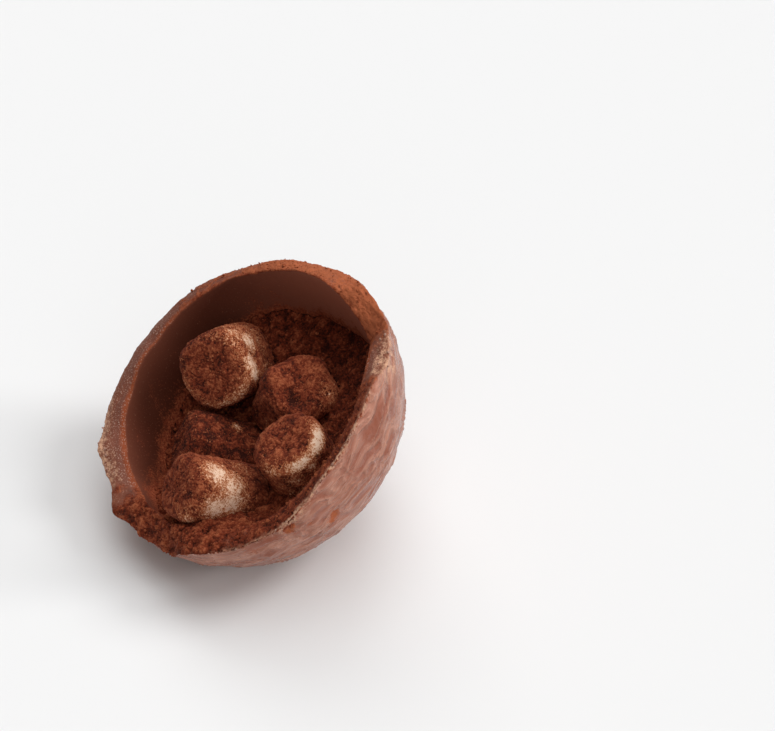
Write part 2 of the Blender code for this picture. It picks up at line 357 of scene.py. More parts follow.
def clumps(point):
    """Height of loose powder drawn together into clumps, about 0 to 1.6."""
    height = 0.2 * domes(point, BIG_CLUMP) + 0.6 * domes(point, SMALL_CLUMP)
    crease = noise.noise(point / CLUMP_CREASES + Vector((3.1, 8.7, 5.2)))
    height -= 0.35 * math.exp(-(crease / 0.09) ** 2)
    return height + 0.6 * noise.fractal(point / CLUMP_ROUGHNESS, 0.5, 2.3, 5)


def turned(profile, segments):
    """Spin (radius, height) points around Z; the ends of the profile lie on the axis."""
    bm = bmesh.new()
    verts = [bm.verts.new((radius, 0.0, height)) for radius, height in profile]
    edges = [bm.edges.new(pair) for pair in zip(verts, verts[1:])]
    bmesh.ops.spin(
        bm, geom=verts + edges, cent=(0.0, 0.0, 0.0), axis=(0.0, 0.0, 1.0),
        angle=FULL, steps=segments, use_merge=True)
    bmesh.ops.remove_doubles(bm, verts=bm.verts, dist=WELD)
    bmesh.ops.recalc_face_normals(bm, faces=bm.faces)
    return bm


def face_outwards(bm):
    """Turn every face out, so that the closed piece has a positive volume."""
    if bm.calc_volume(signed=True) < 0.0:
        bmesh.ops.reverse_faces(bm, faces=bm.faces)
    bm.normal_update()


def finish_piece(name, bm, material, node=None):
    """Make the object, give it its finish and tell the frame what it stands for."""
    mesh = bpy.data.meshes.new(name)
    bm.to_mesh(mesh)
    bm.free()
    mesh.shade_smooth()
    mesh.materials.append(material)
    piece = bpy.data.objects.new(name, mesh)
    bpy.context.scene.collection.objects.link(piece)
    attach(piece, "root")
    if node:
        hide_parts(node)
    return piece


# ---- shell ---------------------------------------------------------
def rim_height(angle, column):
    """Height of the outer or the inner rim edge over the equator at an angle."""
    height = RIM_LEVEL
    for feature in RIM_FEATURES:
        share = bell(angle, math.radians(feature[0]), math.radians(feature[1]))
        height += feature[column] * MM * share
    around = Vector((math.cos(angle), math.sin(angle), RIM_EDGE_OFFSET * column))
    height += RIM_ROUGHNESS * noise.noise(around * RIM_ROUGHNESS_WAVES)
    return height + EDGE_CHIPS * noise.fractal(around * EDGE_CHIP_WAVES, 0.8, 2.2, 2)


def stretch_wall(co, radius, angle, edge_height):
    """Slide a point of a true half sphere so that its edge comes to edge_height."""
    edge = math.acos(-edge_height / radius)
    polar = math.acos(max(-1.0, min(1.0, -co.z / radius))) * edge / QUARTER
    flat = radius * math.sin(polar)
    return Vector((flat * math.cos(angle), flat * math.sin(angle), -radius * math.cos(polar)))


def shell_profile():
    """Even half shell from its outer pole over the rim to its inner pole."""
    profile = []
    for step in range(OUTER_RINGS + 1):
        polar = QUARTER * (step / OUTER_RINGS) ** OUTER_RING_CROWDING
        profile.append((OUTER_RADIUS * math.sin(polar), -OUTER_RADIUS * math.cos(polar)))
    for step in range(1, RIM_RINGS):
        share = step / RIM_RINGS
        profile.append((OUTER_RADIUS + (INNER_RADIUS - OUTER_RADIUS) * share, 0.0))
    for step in range(INNER_RINGS, -1, -1):
        polar = QUARTER * (step / INNER_RINGS) ** INNER_RING_CROWDING
        profile.append((INNER_RADIUS * math.sin(polar), -INNER_RADIUS * math.cos(polar)))
    return profile


def fracture_relief(angle, share):
    """Ripples of the broken surface between the outer (0) and the inner (1) edge."""
    middle = (OUTER_RADIUS + INNER_RADIUS) / 2.0
    spot = Vector((middle * math.cos(angle) / FRACTURE_LENGTH,
                   middle * math.sin(angle) / FRACTURE_LENGTH,
                   share * (OUTER_RADIUS - INNER_RADIUS) / FRACTURE_WIDTH))
    fade = min(1.0, 6.0 * share * (1.0 - share))
    return FRACTURE_HEIGHT * fade * noise.fractal(spot, 0.9, 2.1, 3)


def break_shell(bm, section):
    """Turn the even half shell into the broken one.

    The section layer tells where a point lies: minus the millimetres from the outer edge
    on the outside, 0 to 1 across the break, 1 plus the millimetres from the inner edge inside.
    """
    edges = {}
    for vert in bm.verts:
        angle = math.atan2(vert.co.y, vert.co.x)
        key = round(angle, 6)
        if key not in edges:
            edges[key] = (rim_height(angle, OUTER_EDGE), rim_height(angle, INNER_EDGE))
        outer, inner = edges[key]
        distance = vert.co.length
        if distance > OUTER_RADIUS - ON_WALL:
            vert.co = stretch_wall(vert.co, OUTER_RADIUS, angle, outer)
            vert[section] = -(outer - vert.co.z) / MM
        elif distance < INNER_RADIUS + ON_WALL:
            vert.co = stretch_wall(vert.co, INNER_RADIUS, angle, inner)
            vert[section] = 1.0 + (inner - vert.co.z) / MM
            vert.co += INNER_SHIFT
        else:
            share = (OUTER_RADIUS - distance) / (OUTER_RADIUS - INNER_RADIUS)
            away = Vector((math.cos(angle), math.sin(angle), 0.0))
            low = away * math.sqrt(OUTER_RADIUS ** 2 - outer ** 2)
            low.z = outer
            high = away * math.sqrt(INNER_RADIUS ** 2 - inner ** 2) + INNER_SHIFT
            high.z = inner
            vert.co = low.lerp(high, share)
            vert.co.z += RIM_CREST * 4.0 * share * (1.0 - share)
            vert.co.z += fracture_relief(angle, share)
            vert[section] = share


def skin_flow(point):
    """Place on the outside, drawn out around the shell as the mould's wrinkled lining is."""
    angle = math.atan2(point.y, point.x)
    down = OUTER_RADIUS * math.acos(max(-1.0, min(1.0, -point.z / OUTER_RADIUS)))
    reach = OUTER_RADIUS * VEIN_STRETCH
    bend = 0.55 * VEIN_SPACING * noise.noise_vector(point / VEIN_BEND)
    return Vector((reach * math.cos(angle), reach * math.sin(angle), down)) + bend


def vein_relief(point):
    """Soft folds and thin ridges of the wrinkled lining, running around the shell."""
    spot = skin_flow(point) / VEIN_SPACING
    main = math.exp(-(abs(noise.noise(spot)) / VEIN_WIDTH) ** 1.3)
    other = spot * 1.6 + Vector((7.3, 1.9, 4.2))
    side = math.exp(-(abs(noise.noise(other)) / VEIN_WIDTH) ** 1.3)
    patch = smooth(noise.noise(point / VEIN_PATCH_SIZE), -0.2, 0.25)
    ridges = VEIN_HEIGHT * patch * max(0.8 * main, 0.6 * side)
    folds = FOLD_HEIGHT * noise.noise(spot * 0.8 + Vector((2.2, 5.1, 0.7)))
    return ridges + folds + WRINKLE_HEIGHT * noise.fractal(
        spot * VEIN_SPACING / WRINKLE_SIZE, 0.8, 2.2, 3)


def wall_dust(point):
    """Powder clinging to the bare wall just above the bank, and a thin haze higher up."""
    bank = LEAN_TURN @ (point - INNER_SHIFT)
    above = bank.z - bed_edge_height(math.atan2(bank.y, bank.x))
    cloudy = noise.fractal(point / WALL_CLOUD_SIZE, 0.9, 2.1, 2)
    clinging = WALL_DUST * math.exp(-max(0.0, above) / WALL_DUST_REACH)
    return clinging + WALL_HAZE + WALL_CLOUDS * cloudy


def rim_dust(angle, section, point):
    """Amount of powder at a place on the shell."""
    around = 0.0
    for middle, half_width, amount in RIM_DUST:
        share = amount * bell(angle, math.radians(middle), math.radians(half_width))
        around = max(around, share)
    patchy = DUST_PATCHES * noise.fractal(point / DUST_PATCH_SIZE, 0.9, 2.1, 3)
    if section < 0.0:
        rubbed = 0.0
        for middle, below, reach, amount in OUTER_RUBS:
            turn = (angle - math.radians(middle) + math.pi) % FULL - math.pi
            off = Vector((turn * OUTER_RADIUS / MM, -section - below)).length / reach
            off += 0.8 * noise.noise(point / (0.9 * MM))
            rubbed = max(rubbed, amount * math.exp(-off * off))
        return max(0.0, rubbed, around * 0.8 * math.exp(section / 0.8)) + 0.5 * patchy
    if section <= 1.0:
        near = bell(angle, *map(math.radians, CLEAR_EDGE))
        return around * (1.0 - near * (1.0 - smooth(section, 0.02, 0.26))) + patchy
    return max(0.0, around * 0.5 * math.exp((1.0 - section) / 0.7), wall_dust(point))


def edge_scuff(angle, section, point):
    """Amount of pale, bruised chocolate at a place near the outer edge."""
    amount = 0.0
    for middle, half_width, strength, reach in EDGE_SCUFF:
        share = bell(angle, math.radians(middle), math.radians(half_width))
        off = -section / reach if section < 0.0 else section * 5.0 / reach
        amount = max(amount, strength * share * math.exp(-off * off))
    rough = 0.65 + 0.7 * noise.fractal(point / (0.9 * MM), 0.7, 2.1, 2)
    return max(0.0, amount * rough)


def edge_push(angle, section):
    """Corners of the break standing out from the round, in metres."""
    push = 0.0
    for middle, half_width, out, reach in EDGE_PUSHES:
        off = -section / reach if section < 0.0 else section * EDGE_PUSH_REACH
        share = bell(angle, math.radians(middle), math.radians(half_width))
        push += out * MM * share * math.exp(-off * off)
    return push


def roughen_shell(bm, section):
    """Veins outside, caked powder on the break and small lumps where it is bruised."""
    dust, scuff, relief_and_painted_shade, bloom_and_edge_light = (bm.verts.layers.float[name] for name in SHELL_LAYERS)
    flow = bm.verts.layers.float_vector["flow"]
    places = []
    for vert in bm.verts:
        angle = math.atan2(vert.co.y, vert.co.x)
        place = vert[section]
        point = vert.co.copy()
        vert[dust] = rim_dust(angle, place, point)
        vert[scuff] = edge_scuff(angle, place, point) if place < 0.6 else 0.0
        vert[relief_and_painted_shade] = 0.5
        # painted light: the lining is lighter just inside the edge, where light reaches into the
        # bowl
        edge_light = EDGE_PAINTED_LIGHT * math.exp(-max(0.0, place - 1.0) / EDGE_PAINTED_LIGHT_REACH)
        vert[bloom_and_edge_light] = max(bell(angle, *map(math.radians, WALL_BLOOM)), edge_light)
        vert[flow] = skin_flow(point)
        lift = 0.0
        if place < 0.0:
            lift += vein_relief(point)
            lift += SWELL_HEIGHT * noise.noise(point / SWELL_SIZE)
            lift *= smooth(-place, -0.1, 1.0)
        if place <= 1.6:
            vert[relief_and_painted_shade] = clumps(point)
            thin = THIN_POWDER * bell(angle, *map(math.radians, THIN_EDGE))
            thin *= 1.0 - smooth(place, 0.7, 1.2)
            thin = max(thin, RUB_LIGHTNESS * smooth(-place, 0.8, 2.0))
            caked = smooth(vert[dust], 0.2, 0.75) * smooth(place, -1.2, 0.0)
            caked *= 1.0 - smooth(place, 1.0, 1.6)
            middle, half_width, extra = FRONT_CRUST
            share = bell(angle, math.radians(middle), math.radians(half_width))
            lift += caked * POWDER_COAT * (1.0 + extra * share) * vert[relief_and_painted_shade]
            # painted shade on the powder beside the clear edge, which faces away from the light
            near_rim_shade = NEAR_RIM_PAINTED_SHADE * bell(angle, *map(math.radians, CLEAR_EDGE))
            near_rim_shade *= smooth(place, -0.3, 0.1)
            vert[relief_and_painted_shade] = vert[relief_and_painted_shade] * (1.0 - 0.3 * thin) + thin - near_rim_shade
        lift += SCUFF_HEIGHT * vert[scuff] * noise.fractal(point / SCUFF_SIZE, 0.6, 2.2, 2)
        away = Vector((math.cos(angle), math.sin(angle), 0.0))
        places.append(vert.normal * lift + away * edge_push(angle, place))
    for vert, shift in zip(bm.verts, places):
        vert.co += shift


def build_shell(material):
    noise.seed_set(VEIN_SEED)
    bm = turned(shell_profile(), SHELL_SEGMENTS)
    for name in ("section",) + SHELL_LAYERS:
        bm.verts.layers.float.new(name)
    bm.verts.layers.float_vector.new("flow")
    section = bm.verts.layers.float["section"]
    break_shell(bm, section)
    face_outwards(bm)
    roughen_shell(bm, section)
    bmesh.ops.transform(bm, matrix=LEAN_TURN.to_4x4(), verts=bm.verts)
    bmesh.ops.translate(bm, vec=CENTRE, verts=bm.verts)
    cut = bmesh.ops.bisect_plane(
        bm, geom=bm.verts[:] + bm.edges[:] + bm.faces[:], dist=WELD,
        plane_co=(0.0, 0.0, 0.0), plane_no=(0.0, 0.0, -1.0), clear_outer=True)
    loop = [item for item in cut["geom_cut"] if isinstance(item, bmesh.types.BMEdge)]
    bmesh.ops.contextual_create(bm, geom=loop)
    face_outwards(bm)
    return finish_piece("chocolate_shell", bm, material, "shell_half")


# ---- marshmallows --------------------------------------------------
def marsh_profile(radius, length):
    """Fine (radius, height) points from the bottom centre to the top centre."""
    half = length / 2.0
    flat = (radius - EDGE_ROUNDING) * MARSH_FACE_SHARE
    corner = radius - EDGE_ROUNDING
    upper = []
    side_steps = max(1, round((half - EDGE_ROUNDING) / MARSH_STEP))
    for step in range(side_steps):
        upper.append((radius, (half - EDGE_ROUNDING) * (step + 0.5) / side_steps))
    arc_steps = round(EDGE_ROUNDING * QUARTER / MARSH_STEP)
    for step in range(arc_steps + 1):
        turn = QUARTER * step / arc_steps
        upper.append((corner + EDGE_ROUNDING * math.cos(turn),
                      half - EDGE_ROUNDING + EDGE_ROUNDING * math.sin(turn)))
    face_steps = round(corner / MARSH_STEP)
    for step in range(face_steps - 1, -1, -1):
        reach = corner * step / face_steps
        sink = DIMPLE * (1.0 - min(1.0, reach / flat)) ** 1.5
        upper.append((reach, half - sink))
    lower = [(reach, -height) for reach, height in reversed(upper)]
    return lower + upper


def spot_at(angle, height, reach):
    """A place given by angle in degrees and lengths in mm, in the marshmallow's own frame."""
    turn = math.radians(angle)
    return Vector((reach * math.cos(turn), reach * math.sin(turn), height)) * MM


def bareness(local, spec):
    """How far the powder is rubbed off at a point in the marshmallow's own frame."""
    amount = 0.0
    for angle, height, distance, reach, strength in spec["bare"]:
        off = (local - spot_at(angle, height, distance)).length / (reach * MM)
        amount = max(amount, strength * math.exp(-off * off))
    angle = math.atan2(local.y, local.x)
    edge = Vector((math.hypot(local.x, local.y) - (spec["radius"] - 0.7) * MM,
                   local.z - (spec["length"] / 2.0 - 0.7) * MM)).length
    for middle, half_width, strength in spec["ring"]:
        share = bell(angle, math.radians(middle), math.radians(half_width))
        amount = max(amount, strength * share * math.exp(-(edge / RING_REACH) ** 2))
    return amount


def lumpiness(local, spec):
    """Raised and sunken places of the powder crust, in metres."""
    lift = 0.0
    for angle, height, distance, reach, rise in spec["lumps"]:
        off = (local - spot_at(angle, height, distance)).length / (reach * MM)
        lift += rise * MM * math.exp(-off * off)
    return lift


def build_marshmallow(node, material):
    spec = MARSHMALLOWS[node]
    low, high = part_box(node)
    middle = (Vector(low) + Vector(high)) / 2.0
    radius = spec["radius"] * MM
    squareness = spec["squareness"]
    along = Vector(spec["axis"]).normalized()
    side = Vector((0.0, 0.0, 1.0)).cross(along).normalized()
    upright = Matrix((side, along.cross(side), along)).transposed()
    turn = upright @ Matrix.Rotation(math.radians(spec["roll"]), 3, "Z")
    bm = turned(marsh_profile(radius, spec["length"] * MM), MARSH_SEGMENTS)
    bare = bm.verts.layers.float.new("bare")
    relief_and_painted_shade = bm.verts.layers.float.new("relief_and_painted_shade")
    crust = []
    for vert in bm.verts:
        angle = math.atan2(vert.co.y, vert.co.x)
        around = abs(math.cos(angle)) ** squareness + abs(math.sin(angle)) ** squareness
        square = around ** (-1.0 / squareness)
        vert.co = Vector((vert.co.x * square, vert.co.y * square, vert.co.z))
        vert[bare] = bareness(vert.co, spec)
        crust.append(lumpiness(vert.co, spec))
        point = turn @ vert.co
        wobble = MARSH_WOBBLE * noise.noise((point + middle - CENTRE) / MARSH_WOBBLE_SIZE)
        vert.co = point * (1.0 + wobble / radius)
    face_outwards(bm)
    shifts = []
    for vert, lump in zip(bm.verts, crust):
        point = vert.co + middle
        powder = 1.0 - 0.75 * smooth(vert[bare], 0.3, 0.75)
        vert[relief_and_painted_shade] = clumps(point)
        lift = lump + powder * CRUST * (vert[relief_and_painted_shade] - 0.4)
        # painted shade: darker powder in the hollows of the crust, plus a marshmallow's painted
        # shadow tone
        vert[relief_and_painted_shade] += spec.get("tone_and_painted_shade", 0.0) + HOLLOW_PAINTED_SHADE * min(0.0, lump / MM)
        lift += MARSH_SWELL * noise.fractal(point / MARSH_SWELL_SIZE, 0.9, 2.1, 2)
        shifts.append(middle + vert.normal * lift)
    for vert, shift in zip(bm.verts, shifts):
        vert.co += shift
    tree = BVHTree.FromBMesh(bm)
    piece = finish_piece("powdered_" + node, bm, material, node)
    return piece, tree, middle


# ---- powder --------------------------------------------------------
def bed_edge_height(angle):
    """Height at which the powder surface meets the wall."""
    height = BED_EDGE_LEVEL + BED_EDGE_SWING * math.cos(angle - BED_HIGH_SIDE)
    for middle, half_width, rise in BED_FEATURES:
        height += rise * MM * bell(angle, math.radians(middle), math.radians(half_width))
    around = Vector((math.cos(angle), math.sin(angle), 0.0))
    height += BED_EDGE_RAGGED * noise.fractal(around * BED_EDGE_WAVES, 0.7, 2.2, 4)
    for _ in range(EDGE_STEPS):
        flat = math.sqrt(INNER_RADIUS ** 2 - height ** 2)
        spot = LEAN_BACK @ Vector((flat * math.cos(angle), flat * math.sin(angle), height))
        over = spot.z - rim_height(math.atan2(spot.y, spot.x), INNER_EDGE) - SPILL
        height -= max(0.0, over) * LEAN_BACK[2][2]
    return height


def heap_powder(bm, cavity_radius):
    """Turn a half ball with a flat top into the sloping powder bank."""
    edges = {}
    for vert in bm.verts:
        angle = math.atan2(vert.co.y, vert.co.x)
        key = round(angle, 6)
        if key not in edges:
            edges[key] = bed_edge_height(angle)
        edge = edges[key]
        if vert.co.length > cavity_radius - ON_WALL:
            vert.co = stretch_wall(vert.co, cavity_radius, angle, edge)
            continue
        share = math.hypot(vert.co.x, vert.co.y) / cavity_radius
        flat = share * math.sqrt(cavity_radius ** 2 - edge ** 2)
        height = BED_FLOOR + (edge - BED_FLOOR) * share ** BED_RISE_POWER
        vert.co = Vector((flat * math.cos(angle), flat * math.sin(angle), height))


def build_powder(material, marshmallows):
    cavity_radius = INNER_RADIUS
    profile = []
    for step in range(BED_WALL_RINGS + 1):
        polar = QUARTER * step / BED_WALL_RINGS
        profile.append((cavity_radius * math.sin(polar), -cavity_radius * math.cos(polar)))
    for step in range(BED_TOP_RINGS - 1, -1, -1):
        profile.append((cavity_radius * (step / BED_TOP_RINGS) ** BED_TOP_CROWDING, 0.0))
    bm = turned(profile, BED_SEGMENTS)
    relief_and_painted_shade = bm.verts.layers.float.new("relief_and_painted_shade")
    top = [vert for vert in bm.verts if vert.co.length < cavity_radius - ON_WALL]
    heap_powder(bm, cavity_radius)
    face_outwards(bm)
    bmesh.ops.translate(bm, vec=CENTRE + LEAN_TURN @ INNER_SHIFT, verts=bm.verts)
    shifts = []
    for vert in top:
        point = vert.co
        vert[relief_and_painted_shade] = clumps(point)
        swell = noise.fractal(point / BED_SWELL_SIZE, 0.9, 2.1, 2)
        lift = BED_SWELL * swell + BED_SWELL * (vert[relief_and_painted_shade] - 0.5)
        shifts.append(vert.normal * lift * MM)
    for vert, shift in zip(top, shifts):
        vert.co += shift
        angle = math.atan2(vert.co.y - CENTRE.y, vert.co.x - CENTRE.x)
        # painted shade: darker powder against the back wall, which shadows it
        vert[relief_and_painted_shade] -= BED_PAINTED_SHADE * bell(angle, *map(math.radians, BED_SHADED_SIDE))
    for vert in top:
        for piece, tree, middle in marshmallows:
            if math.hypot(vert.co.x - middle.x, vert.co.y - middle.y) > SOCKET_REACH:
                continue
            start = Vector((vert.co.x, vert.co.y, 0.0))
            under = tree.ray_cast(start, Vector((0.0, 0.0, 1.0)))[0]
            over = tree.ray_cast(start + Vector((0.0, 0.0, 0.1)), Vector((0.0, 0.0, -1.0)))[0]
            if under is not None and under.z - SOCKET_GAP < vert.co.z < over.z + SOCKET_GAP:
                vert.co.z = under.z - SOCKET_GAP
    face_outwards(bm)
    return finish_piece("cocoa_powder_bank", bm, material, "powder_bank")


# ---- loose grains and crumbs ---------------------------------------
def pick_spots(piece, count, share_at, rng):
    """Random (place, outward) pairs on a piece, denser where share_at gives more."""
    verts = piece.data.vertices
    spots = []
    tries = 0
    while len(spots) < count and tries < 60 * count:
        tries += 1
        vert = verts[rng.randrange(len(verts))]
        if rng.random() < share_at(vert):
            spots.append((vert.co.copy(), vert.normal.copy()))
    return spots


def values(piece, name):
    return [item.value for item in piece.data.attributes[name].data]


def scatter(name, spots, sizes, detail, material, rng):
    """One piece of many small rounded lumps lying on the given spots."""
    whole = bmesh.new()
    batch = bpy.data.meshes.new(name + "_batch")
    bm = bmesh.new()
    for number, (place, outward) in enumerate(spots, start=1):
        size = sizes[0] + (sizes[1] - sizes[0]) * rng.random() ** 2.5
        turn = Matrix.Rotation(rng.uniform(0.0, FULL), 4, outward)
        tilt = Matrix.Rotation(rng.uniform(0.0, FULL), 4, "X")
        shape = Matrix.Diagonal((rng.uniform(0.6, 1.0), rng.uniform(0.6, 1.0), 1.0, 1.0))
        put = Matrix.Translation(place + outward * size * rng.uniform(0.1, 0.6))
        made = bmesh.ops.create_icosphere(
            bm, subdivisions=detail, radius=size, matrix=put @ turn @ tilt @ shape)
        if detail > 1:
            for vert in made["verts"]:
                away = (vert.co - place).normalized()
                vert.co += away * size * 0.5 * noise.noise(vert.co / (0.8 * size))
        if number % BATCH == 0 or number == len(spots):
            bm.to_mesh(batch)
            whole.from_mesh(batch)
            bm.clear()
    bm.free()
    bpy.data.meshes.remove(batch)
    relief_and_painted_shade = whole.verts.layers.float.new("relief_and_painted_shade")
    # painted light: loose grains take the lighter tone of lit clump tops
    for vert in whole.verts:
        vert[relief_and_painted_shade] = LOOSE_PAINTED_LIGHT
    face_outwards(whole)
    return finish_piece(name, whole, material)


def build_loose_pieces(shell, bank, marshmallows, powder, chocolate):
    rng = random.Random(11)
    dust = values(shell, "dust")
    section = values(shell, "section")
    scuff = values(shell, "scuff")

    def on_rim(vert):
        place = section[vert.index]
        if place > 1.6:
            return 0.05 * smooth(dust[vert.index], 0.4, 0.8)
        return smooth(dust[vert.index], 0.3, 0.9) * smooth(place, -0.1, 0.2)

    def on_bank(vert):
        return 1.0 if vert.normal.z > 0.0 else 0.0

    def on_fringe(vert):
        return smooth(scuff[vert.index], 0.3, 0.9)

    spots = pick_spots(shell, RIM_GRAINS, on_rim, rng)
    spots += pick_spots(bank, BANK_GRAINS, on_bank, rng)
    for piece, tree, middle in marshmallows:
        bare = values(piece, "bare")
        spots += pick_spots(
            piece, MARSHMALLOW_GRAINS, lambda vert: 1.0 - bare[vert.index], rng)
    scatter("loose_powder_grains", spots, GRAIN_SIZES, 1, powder, rng)
    spots = pick_spots(shell, RIM_CLUMPS, on_rim, rng)
    spots += pick_spots(bank, BANK_CLUMPS, on_bank, rng)
    scatter("powder_clumps", spots, CLUMP_SIZES, 2, powder, rng)
    spots = pick_spots(shell, CRUMBS, on_fringe, rng)
    scatter("chocolate_crumbs", spots, CRUMB_SIZES, 2, chocolate, rng)


# ---- finishes ------------------------------------------------------
def colour(hex_code):
    """Linear RGBA of an sRGB hex colour."""
    parts = [int(hex_code[place:place + 2], 16) / 255.0 for place in (0, 2, 4)]
    linear = [part / 12.92 if part <= 0.04045 else ((part + 0.055) / 1.055) ** 2.4
              for part in parts]
    return (*linear, 1.0)


def add(tree, kind, settings, sockets):
    """Add a node; sockets maps an input's name or number to a value or to an output."""
    made = tree.nodes.new(kind)
    for name, value in settings.items():
        setattr(made, name, value)
    for name, value in sockets.items():
        if isinstance(value, bpy.types.NodeSocket):
            tree.links.new(value, made.inputs[name])
        else:
            made.inputs[name].default_value = value
    return made


def new_finish(name):
    """A material with its shader and Object coordinates."""
    material = bpy.data.materials.new(name)
    material.use_nodes = True
    tree = material.node_tree
    shader = tree.nodes["Principled BSDF"]
    coords = add(tree, "ShaderNodeTexCoord", {}, {}).outputs["Object"]
    return material, tree, shader, coords


def powder_colour(tree, coords):
    """Cocoa powder: painted shade in the pores, painted light, redder, on the tops of the clumps,
    speckled by single grains.
    """
    # the relief value doubles as painted shade: low places and the shade offsets carried in it
    # darken the powder, high places are painted lighter
    relief_and_painted_shade = add(tree, "ShaderNodeAttribute", {"attribute_name": "relief_and_painted_shade"}, {}).outputs["Fac"]
    mottle = add(tree, "ShaderNodeTexNoise", {}, {
        "Vector": coords, "Scale": 1.0 / POWDER_MOTTLE, "Detail": 3.0,
        "Roughness": 0.75}).outputs["Fac"]
    height = add(tree, "ShaderNodeMath", {"operation": "MULTIPLY_ADD"}, {
        0: mottle, 1: 2.6, 2: relief_and_painted_shade}).outputs[0]
    tone_and_painted_shade = add(tree, "ShaderNodeMapRange", {}, {
        "Value": height, "From Min": 0.95, "From Max": 2.5}).outputs[0]
    shades = add(tree, "ShaderNodeValToRGB", {}, {0: tone_and_painted_shade})
    ramp = shades.color_ramp
    ramp.elements[0].color = colour("38130A")
    ramp.elements[1].color = colour("A95D3C")
    middle = ramp.elements.new(0.42)
    middle.color = colour("6E2B17")
    return shades.outputs[0]


